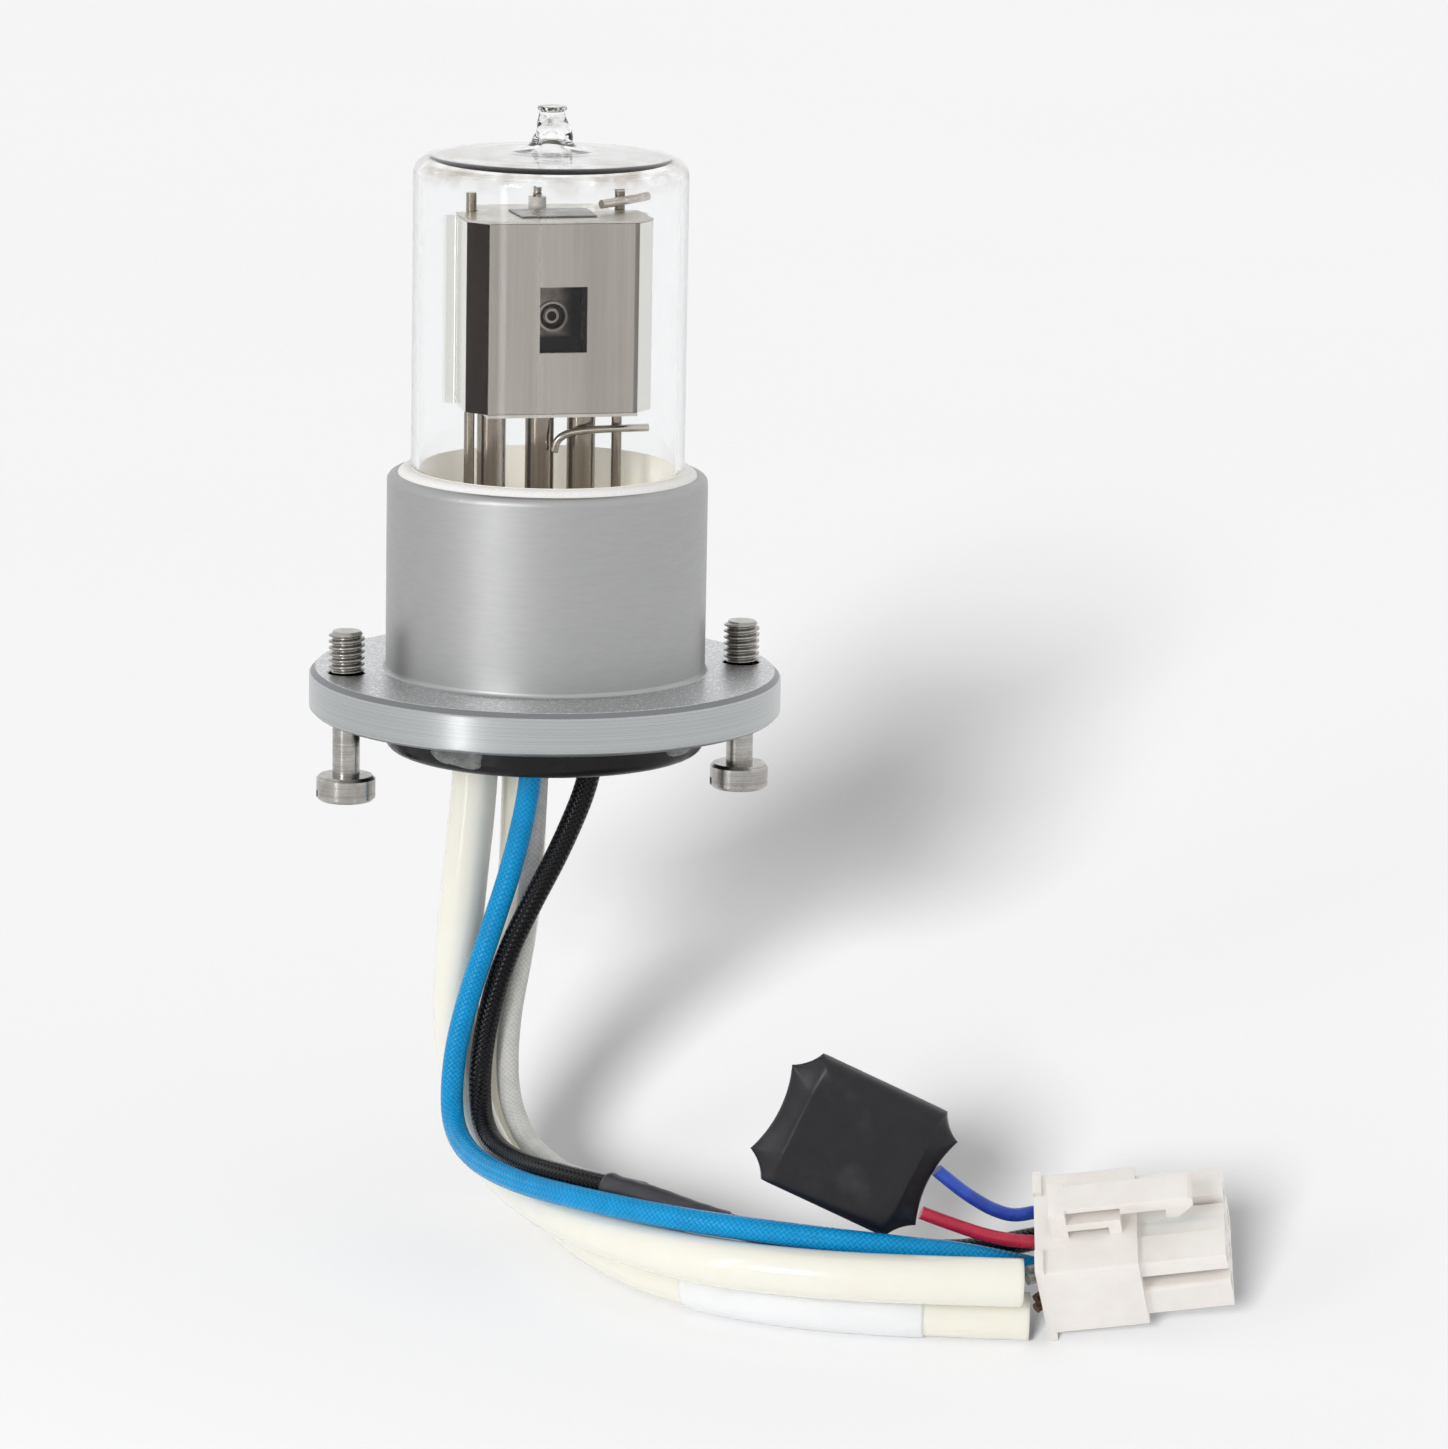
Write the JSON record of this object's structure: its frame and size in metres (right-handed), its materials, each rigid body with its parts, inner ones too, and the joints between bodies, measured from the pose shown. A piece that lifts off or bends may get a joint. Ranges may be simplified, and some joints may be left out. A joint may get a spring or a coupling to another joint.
{
  "type": "deuterium lamp",
  "caption": "Flange-mounted deuterium arc lamp: a side-window electrode box sealed in a silica bulb, cemented in an aluminium base with captive screws, a lead bundle and a plug.",
  "frame": {"origin": "middle of the flange's seat, the face round the collar that the two captive screws pass through", "axes": "+Z along the bulb to its tip; the emission window faces -Y; the two captive screws lie on X; the lead bundle hangs to -Z and runs forward and to the right"},
  "size_m": [0.0889, 0.0959, 0.1233],
  "materials": {
    "aluminium_base": "fine turned, satin",
    "white_cement": "chalky white",
    "silica_glass": "clear polished",
    "stem_glass": "clear, slightly hazy",
    "black_cap": "smooth cast resin",
    "tin_crimp": "tinned",
    "nickel_sheet": "satin rolled sheet, grey",
    "dark_molybdenum": "dull dark metal",
    "ceramic": "white fired ceramic",
    "anode_molybdenum": "dull dark metal",
    "tungsten": "coated coil wire",
    "pin_nickel": "drawn wire",
    "screw_steel": "machined stainless",
    "cream_sleeving": "cream sleeving, semi-matt",
    "blue_braid": "braided, bright blue",
    "black_braid": "braided, black",
    "white_braid": "braided, white",
    "marker_white": "white sleeve",
    "shrink_black": "black heat-shrink",
    "clear_wire": "clear insulation",
    "brown_wire": "brown insulation",
    "nylon_white": "natural nylon",
    "tin_terminal": "tinned",
    "blue_wire": "smooth blue insulation",
    "red_wire": "smooth red insulation"
  },
  "bodies": {
    "root": {"base_flange": "aluminium_base", "cement_ring": "white_cement", "base_potting": "white_cement", "bulb_envelope": "silica_glass", "glass_stem": "stem_glass", "potting_cap": "black_cap", "pin_crimps": "tin_crimp", "front_shield": "nickel_sheet", "rear_shield": "nickel_sheet", "top_cover": "nickel_sheet", "bottom_cover": "nickel_sheet", "aperture_plate": "dark_molybdenum", "arc_cup": "dark_molybdenum", "cathode_shield": "dark_molybdenum", "anode_insulator": "ceramic", "lead_tube_left": "ceramic", "lead_tube_mid": "ceramic", "lead_tube_right": "ceramic", "anode_sleeve": "ceramic", "anode_plate": "anode_molybdenum", "cathode_coil": "tungsten", "support_pin_left": "pin_nickel", "support_pin_right": "pin_nickel", "lead_pin_left": "pin_nickel", "lead_pin_mid": "pin_nickel", "lead_pin_right": "pin_nickel", "bent_strap": "pin_nickel", "cross_wire": "pin_nickel", "anode_wire": "pin_nickel", "cream_sleeve_a": "cream_sleeving", "cream_sleeve_b": "cream_sleeving", "blue_lead": "blue_braid", "black_lead": "black_braid", "white_lead": "white_braid", "marker_sleeve": "marker_white", "splice_sleeve": "shrink_black", "module_sleeve": "shrink_black", "sleeve_a_wires": "clear_wire", "sleeve_b_wires": "brown_wire", "connector_housing": "nylon_white", "connector_terminals": "tin_terminal", "module_lead_blue": "blue_wire", "module_lead_red": "red_wire"},
    "screw_left": {"captive_screw_left": "screw_steel"},
    "screw_right": {"captive_screw_right": "screw_steel"}
  },
  "joints": [
    {"name": "screw_left_slide", "type": "slide", "parent": "root", "child": "screw_left", "axis": [0, 0, 1], "range_m": [0, 0.0066]},
    {"name": "screw_right_slide", "type": "slide", "parent": "root", "child": "screw_right", "axis": [0, 0, 1], "range_m": [0, 0.0066]}
  ]
}
